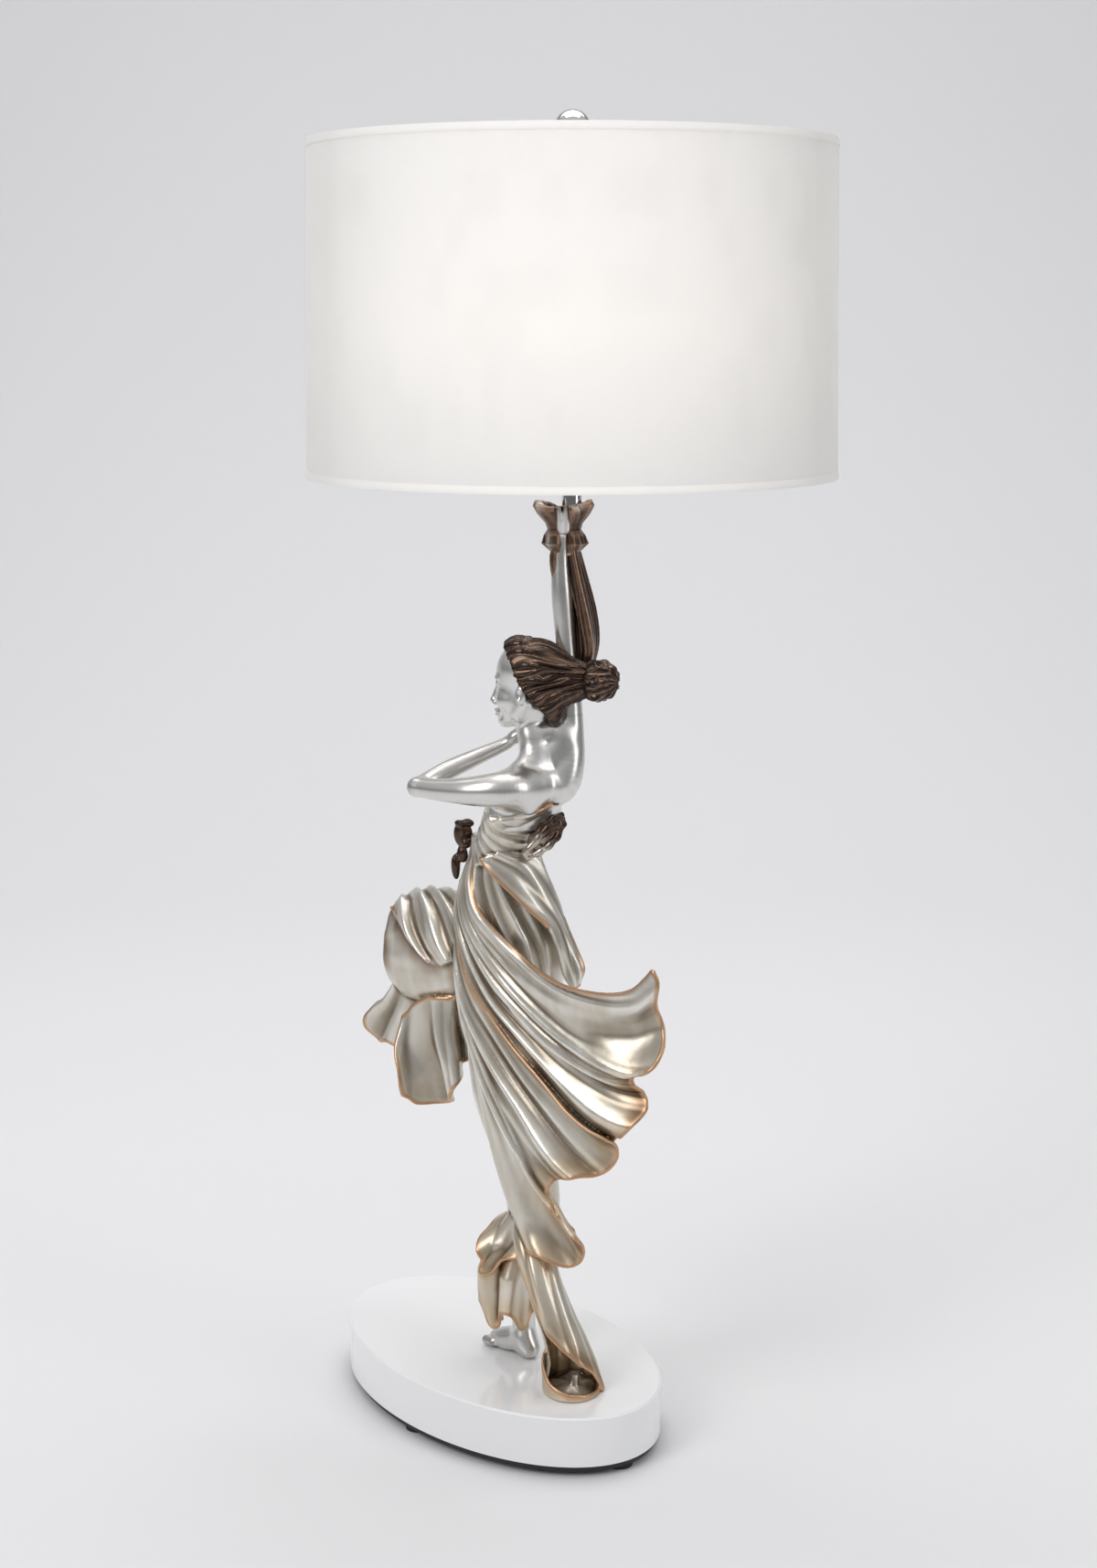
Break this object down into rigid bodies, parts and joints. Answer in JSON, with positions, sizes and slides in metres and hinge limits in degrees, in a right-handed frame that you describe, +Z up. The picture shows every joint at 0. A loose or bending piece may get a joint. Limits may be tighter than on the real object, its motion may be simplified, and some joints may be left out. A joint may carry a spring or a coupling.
{
  "type": "figural table lamp",
  "caption": "Table lamp with a cast dancing figure on an oval plinth, holding up a socket with harp, drum shade and ball finial",
  "frame": {"origin": "on the floor under the lamp axis, which is the axis of the shade, harp and socket", "axes": "+Z up; +X to the right and +Y away from a viewer who looks at the figure from behind its left shoulder; the figure faces along the plinth's long axis, towards -X and +Y"},
  "size_m": [0.3849, 0.385, 0.9783],
  "materials": {
    "plinth_white": "white gloss lacquer",
    "underside_black": "black painted steel plate",
    "foot_rubber": "black rubber",
    "zinc_steel": "zinc-plated steel",
    "bush_black": "black moulded nylon",
    "gown_pearl": "cold-cast resin, champagne silver lacquer with gilt edges",
    "skin_silver": "cold-cast resin, bright silver lacquer",
    "hair_bronze": "cold-cast resin, dark bronze lacquer",
    "chrome_fittings": "polished chrome plate",
    "harp_nickel": "nickel plate",
    "socket_brass": "polished brass",
    "liner_card": "pressed fibre card",
    "socket_insulator": "glazed porcelain",
    "bulb_glass": "frosted white glass",
    "bulb_cap": "bare aluminium",
    "key_black": "black moulded phenolic",
    "shade_linen": "white linen weave",
    "shade_styrene": "white styrene backing",
    "shade_wire": "white painted steel wire"
  },
  "bodies": {
    "lamp": {"plinth": "plinth_white", "cord_bush": "bush_black", "underside_plate": "underside_black", "rubber_feet": "foot_rubber", "foot_screws": "zinc_steel", "bolt_washers": "zinc_steel", "figure_bolts": "zinc_steel", "nipple": "zinc_steel", "neck": "chrome_fittings", "harp_saddle": "harp_nickel", "harp": "harp_nickel", "harp_stud": "harp_nickel", "lock_nut": "zinc_steel", "socket_cap": "socket_brass", "socket_shell": "socket_brass", "socket_liner": "liner_card", "socket_block": "socket_insulator", "screw_shell": "socket_brass", "centre_contact": "socket_brass", "gown_skirt": "gown_pearl", "gown_fan_upper": "gown_pearl", "gown_fan_lower": "gown_pearl", "gown_bodice": "gown_pearl", "knee_drape": "gown_pearl", "knee_ruffle": "gown_pearl", "gown_tail": "gown_pearl", "calf_ruffle": "gown_pearl", "torso": "skin_silver", "raised_arm": "skin_silver", "bent_arm": "skin_silver", "head": "skin_silver", "raised_leg": "skin_silver", "standing_foot": "skin_silver", "hair": "hair_bronze", "hair_bun": "hair_bronze", "arm_scarf": "hair_bronze", "hand_cup": "hair_bronze", "front_bow": "hair_bronze", "back_bow": "hair_bronze"},
    "ferrule_left": {"harp_ferrule_left": "harp_nickel"},
    "ferrule_right": {"harp_ferrule_right": "harp_nickel"},
    "key": {"switch_knob": "key_black"},
    "bulb": {"bulb_cap": "bulb_cap", "bulb_glass": "bulb_glass"},
    "shade": {"shade_fabric": "shade_linen", "shade_lining": "shade_styrene", "shade_hem_top": "shade_linen", "shade_hem_bottom": "shade_linen", "shade_top_ring": "shade_wire", "spider_hub": "shade_wire", "spider_arms": "shade_wire", "shade_bottom_ring": "shade_wire"},
    "finial": {"finial": "chrome_fittings"}
  },
  "joints": [
    {"name": "ferrule_left_lift", "type": "slide", "parent": "lamp", "child": "ferrule_left", "axis": [0, 0, 1], "range_m": [0, 0.01]},
    {"name": "ferrule_right_lift", "type": "slide", "parent": "lamp", "child": "ferrule_right", "axis": [0, 0, 1], "range_m": [0, 0.01]},
    {"name": "switch_turn", "type": "hinge", "parent": "lamp", "child": "key", "pos_m": [0, -0.02, 0.7445], "axis": [0, -1, 0], "continuous": true},
    {"name": "bulb_turn", "type": "hinge", "parent": "lamp", "child": "bulb", "pos_m": [0, 0, 0.765], "axis": [0, 0, 1], "continuous": true},
    {"name": "shade_turn", "type": "hinge", "parent": "lamp", "child": "shade", "pos_m": [0, 0, 0.947], "axis": [0, 0, 1], "continuous": true},
    {"name": "finial_turn", "type": "hinge", "parent": "lamp", "child": "finial", "pos_m": [0, 0, 0.96], "axis": [0, 0, 1], "continuous": true}
  ]
}
